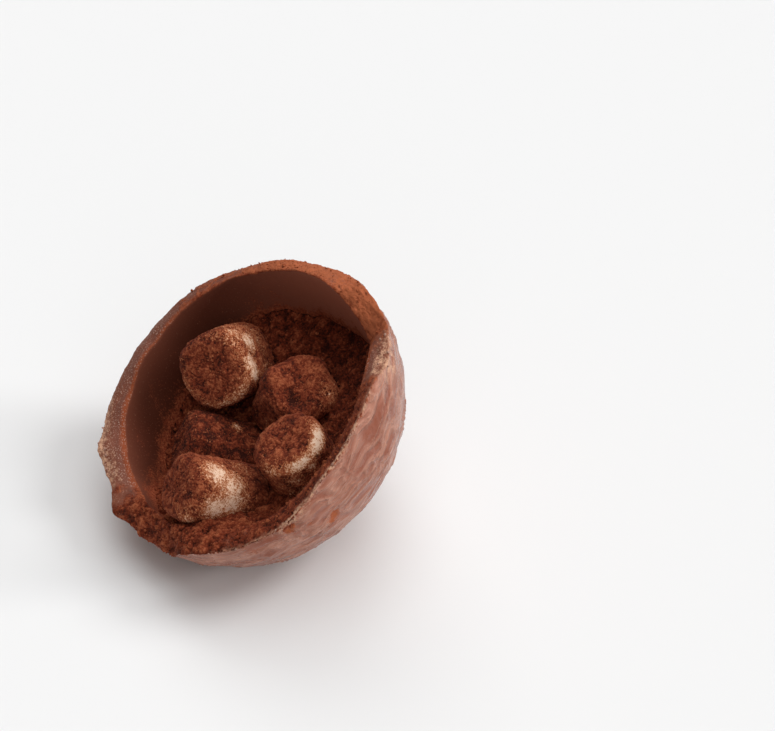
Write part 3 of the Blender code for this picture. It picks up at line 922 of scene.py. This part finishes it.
def chocolate_finish():
    """Tempered milk chocolate: satin outside, crumbly where broken, dull and dusty inside."""
    material, tree, shader, coords = new_finish("tempered_milk_chocolate")
    section, dust, scuff, bloom_and_edge_light = (
        add(tree, "ShaderNodeAttribute", {"attribute_name": name}, {}).outputs["Fac"]
        for name in ("section", "dust", "scuff", "bloom_and_edge_light"))
    grain = add(tree, "ShaderNodeTexNoise", {}, {
        "Vector": coords, "Scale": 1.0 / CRUMB_GRAIN, "Detail": 3.0}).outputs["Fac"]
    mottle = add(tree, "ShaderNodeTexNoise", {}, {
        "Vector": coords, "Scale": 1.0 / SKIN_MOTTLE, "Detail": 4.0,
        "Roughness": 0.65}).outputs["Fac"]
    cloud = add(tree, "ShaderNodeTexNoise", {}, {
        "Vector": coords, "Scale": 1.0 / SKIN_CLOUDS, "Detail": 4.0}).outputs["Fac"]
    broken = add(tree, "ShaderNodeMapRange", {}, {
        "Value": section, "From Min": -0.15, "From Max": 0.05}).outputs[0]
    inside = add(tree, "ShaderNodeMapRange", {}, {
        "Value": section, "From Min": 0.95, "From Max": 1.1}).outputs[0]
    # painted shade in the creases of the moulded skin and a painted highlight on its fine ridges,
    # over clouds of tone
    flow = add(tree, "ShaderNodeAttribute", {"attribute_name": "flow"}, {}).outputs["Vector"]
    wrinkles = add(tree, "ShaderNodeTexNoise", {"noise_type": "RIDGED_MULTIFRACTAL"}, {
        "Vector": flow, "Scale": 1.0 / SKIN_WRINKLES, "Detail": 3.0, "Roughness": 0.6,
        "Lacunarity": 2.2, "Offset": 0.9, "Gain": 1.6}).outputs["Fac"]
    crest = add(tree, "ShaderNodeMapRange", {}, {
        "Value": wrinkles, "From Min": 0.3, "From Max": 2.4}).outputs[0]
    crest_light_and_clouds = add(tree, "ShaderNodeMath", {"operation": "MULTIPLY_ADD"}, {
        0: cloud, 1: 0.6, 2: crest}).outputs[0]
    skin_tone = add(tree, "ShaderNodeMapRange", {}, {
        "Value": crest_light_and_clouds, "From Min": 0.25, "From Max": 1.25}).outputs[0]
    skin = add(tree, "ShaderNodeMix", {"data_type": "RGBA"}, {
        0: skin_tone, 6: colour("8A4D39"), 7: colour("CE9984")}).outputs[2]
    # across the break: a tan outer lip, greyish crumb, a smooth brown fillet, the dark lining
    across = add(tree, "ShaderNodeValToRGB", {}, {0: add(tree, "ShaderNodeMapRange", {}, {
        "Value": section, "From Min": 0.0, "From Max": 1.25}).outputs[0]})
    stops = across.color_ramp.elements
    stops[0].color = colour("86503A")
    stops[1].color = colour("7A4228")
    for place, tint in ((0.1, "7E4835"), (0.6, "744436"), (0.72, "8E4426")):
        stop = stops.new(place)
        stop.color = colour(tint)
    shell = add(tree, "ShaderNodeMix", {"data_type": "RGBA"}, {
        0: broken, 6: skin, 7: across.outputs[0]}).outputs[2]
    # the lining is dark where shaded, painted light just inside the edge, and greyed by a bloom
    # of cocoa butter at the back
    lining = add(tree, "ShaderNodeMix", {"data_type": "RGBA"}, {
        0: bloom_and_edge_light, 6: colour("40170A"), 7: colour("925440")}).outputs[2]
    bare = add(tree, "ShaderNodeMix", {"data_type": "RGBA"}, {
        0: inside, 6: shell, 7: lining}).outputs[2]
    # painted glints: pale specks where sugar and milk crystals catch the light on the fresh crumb
    crystal_glint = add(tree, "ShaderNodeMapRange", {"interpolation_type": "SMOOTHSTEP"}, {
        "Value": grain, "From Min": 0.54, "From Max": 0.7}).outputs[0]
    crumb = add(tree, "ShaderNodeMath", {"operation": "SUBTRACT"}, {
        0: broken, 1: inside}).outputs[0]
    painted_glints = add(tree, "ShaderNodeMath", {"operation": "MULTIPLY"}, {
        0: crystal_glint, 1: crumb}).outputs[0]
    glinted = add(tree, "ShaderNodeMix", {"data_type": "RGBA"}, {
        0: painted_glints, 6: bare, 7: colour("AC8A7A")}).outputs[2]
    pale = add(tree, "ShaderNodeMath", {"operation": "MULTIPLY_ADD"}, {
        0: grain, 1: 1.4, 2: scuff}).outputs[0]
    bruise = add(tree, "ShaderNodeMapRange", {"interpolation_type": "SMOOTHSTEP"}, {
        "Value": pale, "From Min": 0.85, "From Max": 1.6}).outputs[0]
    bruised = add(tree, "ShaderNodeMix", {"data_type": "RGBA"}, {
        0: bruise, 6: glinted, 7: colour("D3A486")}).outputs[2]
    # powder settles in patches that break up into single grains at their edges
    patches = add(tree, "ShaderNodeMath", {"operation": "MULTIPLY_ADD"}, {
        0: mottle, 1: 0.8, 2: dust}).outputs[0]
    speckle = add(tree, "ShaderNodeMath", {"operation": "MULTIPLY_ADD"}, {
        0: grain, 1: 0.8, 2: patches}).outputs[0]
    powdered = add(tree, "ShaderNodeMapRange", {"interpolation_type": "SMOOTHSTEP"}, {
        "Value": speckle, "From Min": 1.1, "From Max": 1.5}).outputs[0]
    final = add(tree, "ShaderNodeMix", {"data_type": "RGBA"}, {
        0: powdered, 6: bruised, 7: powder_colour(tree, coords)}).outputs[2]
    gloss = add(tree, "ShaderNodeMapRange", {}, {
        "Value": cloud, "From Min": 0.3, "From Max": 0.7,
        "To Min": 0.2, "To Max": 0.36}).outputs[0]
    dull = add(tree, "ShaderNodeMix", {"data_type": "FLOAT"}, {
        0: broken, 2: gloss, 3: 0.7}).outputs[0]
    matt = add(tree, "ShaderNodeMix", {"data_type": "FLOAT"}, {
        0: inside, 2: dull, 3: 1.0}).outputs[0]
    rough = add(tree, "ShaderNodeMix", {"data_type": "FLOAT"}, {
        0: powdered, 2: matt, 3: 0.95}).outputs[0]
    crumbly = add(tree, "ShaderNodeMath", {"operation": "MULTIPLY_ADD"}, {
        0: crumb, 1: 0.55, 2: 0.25}).outputs[0]
    strength = add(tree, "ShaderNodeMix", {"data_type": "FLOAT"}, {
        0: powdered, 2: crumbly, 3: 0.9}).outputs[0]
    creased = add(tree, "ShaderNodeMath", {"operation": "SUBTRACT", "use_clamp": True}, {
        0: 1.0, 1: broken}).outputs[0]
    skin_bump = add(tree, "ShaderNodeBump", {}, {
        "Height": crest, "Strength": creased, "Distance": SKIN_BUMP}).outputs[0]
    fine = add(tree, "ShaderNodeBump", {}, {
        "Height": grain, "Strength": strength, "Distance": CRUMB_BUMP, "Normal": skin_bump})
    tree.links.new(final, shader.inputs["Base Color"])
    tree.links.new(rough, shader.inputs["Roughness"])
    tree.links.new(fine.outputs[0], shader.inputs["Normal"])
    shader.inputs["IOR"].default_value = 1.47
    shader.inputs["Specular Tint"].default_value = colour("E2B4A6")
    return material


def powder_finish():
    """Sifted drinking chocolate powder: quite matt, with painted shade in its pores."""
    material, tree, shader, coords = new_finish("sifted_cocoa_powder")
    grain = add(tree, "ShaderNodeTexNoise", {}, {
        "Vector": coords, "Scale": 1.0 / POWDER_GRAIN, "Detail": 3.0}).outputs["Fac"]
    bump = add(tree, "ShaderNodeBump", {}, {
        "Height": grain, "Strength": 1.0, "Distance": POWDER_BUMP})
    tree.links.new(powder_colour(tree, coords), shader.inputs["Base Color"])
    tree.links.new(bump.outputs[0], shader.inputs["Normal"])
    shader.inputs["Roughness"].default_value = 1.0
    shader.inputs["Specular IOR Level"].default_value = 0.15
    return material


def marshmallow_finish():
    """Marshmallow rolled in powder: cream where rubbed, tan under a film, brown under a crust."""
    material, tree, shader, coords = new_finish("marshmallow_rolled_in_cocoa")
    bare = add(tree, "ShaderNodeAttribute", {"attribute_name": "bare"}, {}).outputs["Fac"]
    grain = add(tree, "ShaderNodeTexNoise", {}, {
        "Vector": coords, "Scale": 1.0 / CRUMB_GRAIN, "Detail": 3.0}).outputs["Fac"]
    mottle = add(tree, "ShaderNodeTexNoise", {}, {
        "Vector": coords, "Scale": 1.0 / CRUST_PATCHES, "Detail": 5.0,
        "Roughness": 0.8}).outputs["Fac"]
    patches = add(tree, "ShaderNodeMath", {"operation": "MULTIPLY_ADD"}, {
        0: mottle, 1: 2.0, 2: bare}).outputs[0]
    speckle = add(tree, "ShaderNodeMath", {"operation": "MULTIPLY_ADD"}, {
        0: grain, 1: 1.5, 2: patches}).outputs[0]
    rubbed = add(tree, "ShaderNodeMapRange", {}, {
        "Value": speckle, "From Min": 1.92, "From Max": 2.75}).outputs[0]
    skin = add(tree, "ShaderNodeValToRGB", {}, {0: rubbed})
    ramp = skin.color_ramp
    ramp.elements[0].color = colour("8A452B")
    ramp.elements[1].color = colour("F2D0B6")
    for place, tint in ((0.3, "A25A39"), (0.52, "B9764F"), (0.7, "DDAA88")):
        stop = ramp.elements.new(place)
        stop.color = colour(tint)
    shown = add(tree, "ShaderNodeMapRange", {"interpolation_type": "SMOOTHSTEP"}, {
        "Value": rubbed, "From Min": 0.02, "From Max": 0.3}).outputs[0]
    final = add(tree, "ShaderNodeMix", {"data_type": "RGBA"}, {
        0: shown, 6: powder_colour(tree, coords), 7: skin.outputs[0]}).outputs[2]
    bump = add(tree, "ShaderNodeBump", {}, {
        "Height": grain, "Strength": 0.8, "Distance": CRUST_BUMP})
    tree.links.new(final, shader.inputs["Base Color"])
    tree.links.new(bump.outputs[0], shader.inputs["Normal"])
    shader.inputs["Roughness"].default_value = 0.95
    shader.inputs["Specular IOR Level"].default_value = 0.2
    return material


def crumb_finish():
    """Broken-off bits of milk chocolate: pale and dull, as bruised chocolate is."""
    material, tree, shader, coords = new_finish("crumbled_milk_chocolate")
    grain = add(tree, "ShaderNodeTexNoise", {}, {
        "Vector": coords, "Scale": 1.0 / CRUMB_GRAIN, "Detail": 3.0}).outputs["Fac"]
    tint = add(tree, "ShaderNodeMix", {"data_type": "RGBA"}, {
        0: grain, 6: colour("80503E"), 7: colour("C39A86")}).outputs[2]
    tree.links.new(tint, shader.inputs["Base Color"])
    shader.inputs["Roughness"].default_value = 0.6
    return material


# ---- studio --------------------------------------------------------
def build_floor():
    bm = bmesh.new()
    bmesh.ops.create_grid(bm, x_segments=1, y_segments=1, size=FLOOR_REACH)
    mesh = bpy.data.meshes.new("studio_floor")
    bm.to_mesh(mesh)
    bm.free()
    material, tree, shader, coords = new_finish("matt_white_paper")
    shader.inputs["Base Color"].default_value = colour("EAEAEA")
    shader.inputs["Roughness"].default_value = 1.0
    shader.inputs["Specular IOR Level"].default_value = 0.0
    mesh.materials.append(material)
    floor = bpy.data.objects.new("studio_floor", mesh)
    bpy.context.scene.collection.objects.link(floor)


def camera_axes():
    """Right, up and back of the camera."""
    level = math.cos(CAMERA_ELEVATION)
    back = Vector((math.sin(CAMERA_AZIMUTH) * level, -math.cos(CAMERA_AZIMUTH) * level,
                   math.sin(CAMERA_ELEVATION)))
    right = Vector((math.cos(CAMERA_AZIMUTH), math.sin(CAMERA_AZIMUTH), 0.0))
    return right, back.cross(right), back


def build_camera():
    right, up, back = camera_axes()
    data = bpy.data.cameras.new("camera")
    data.lens = CAMERA_LENS
    data.sensor_width = 36.0
    data.clip_start = 0.01
    camera = bpy.data.objects.new("camera", data)
    bpy.context.scene.collection.objects.link(camera)
    place = Matrix((right, up, back)).transposed().to_4x4()
    place.translation = (CENTRE + back * CAMERA_DISTANCE + right * CAMERA_SIDEWAYS
                         + up * CAMERA_UPWARDS)
    camera.matrix_world = place
    bpy.context.scene.camera = camera


def build_light(name, turn, height, spread, strength):
    """A soft distant light; turn is its angle from behind the camera, towards the right."""
    data = bpy.data.lights.new(name, "SUN")
    data.angle = math.radians(spread)
    data.energy = strength * math.pi / math.sin(math.radians(height))
    lamp = bpy.data.objects.new(name, data)
    bpy.context.scene.collection.objects.link(lamp)
    azimuth = CAMERA_AZIMUTH + math.radians(turn)
    level = math.cos(math.radians(height))
    towards = Vector((math.sin(azimuth) * level, -math.cos(azimuth) * level,
                      math.sin(math.radians(height))))
    lamp.rotation_euler = towards.to_track_quat("Z", "Y").to_euler()


def build_studio():
    build_floor()
    build_camera()
    for light in LIGHTS:
        build_light(*light)
    world = bpy.data.worlds.new("studio_air")
    bpy.context.scene.world = world
    world.use_nodes = True
    air = world.node_tree.nodes["Background"]
    air.inputs["Color"].default_value = (1.0, 1.0, 1.0, 1.0)
    air.inputs["Strength"].default_value = AIR_LIGHT
    bpy.context.scene.view_settings.view_transform = "Standard"


def main():
    build_studio()
    powder = powder_finish()
    shell = build_shell(chocolate_finish())
    dusted = marshmallow_finish()
    marshmallows = [build_marshmallow(node, dusted) for node in MARSHMALLOWS]
    bank = build_powder(powder, marshmallows)
    build_loose_pieces(shell, bank, marshmallows, powder, crumb_finish())


main()
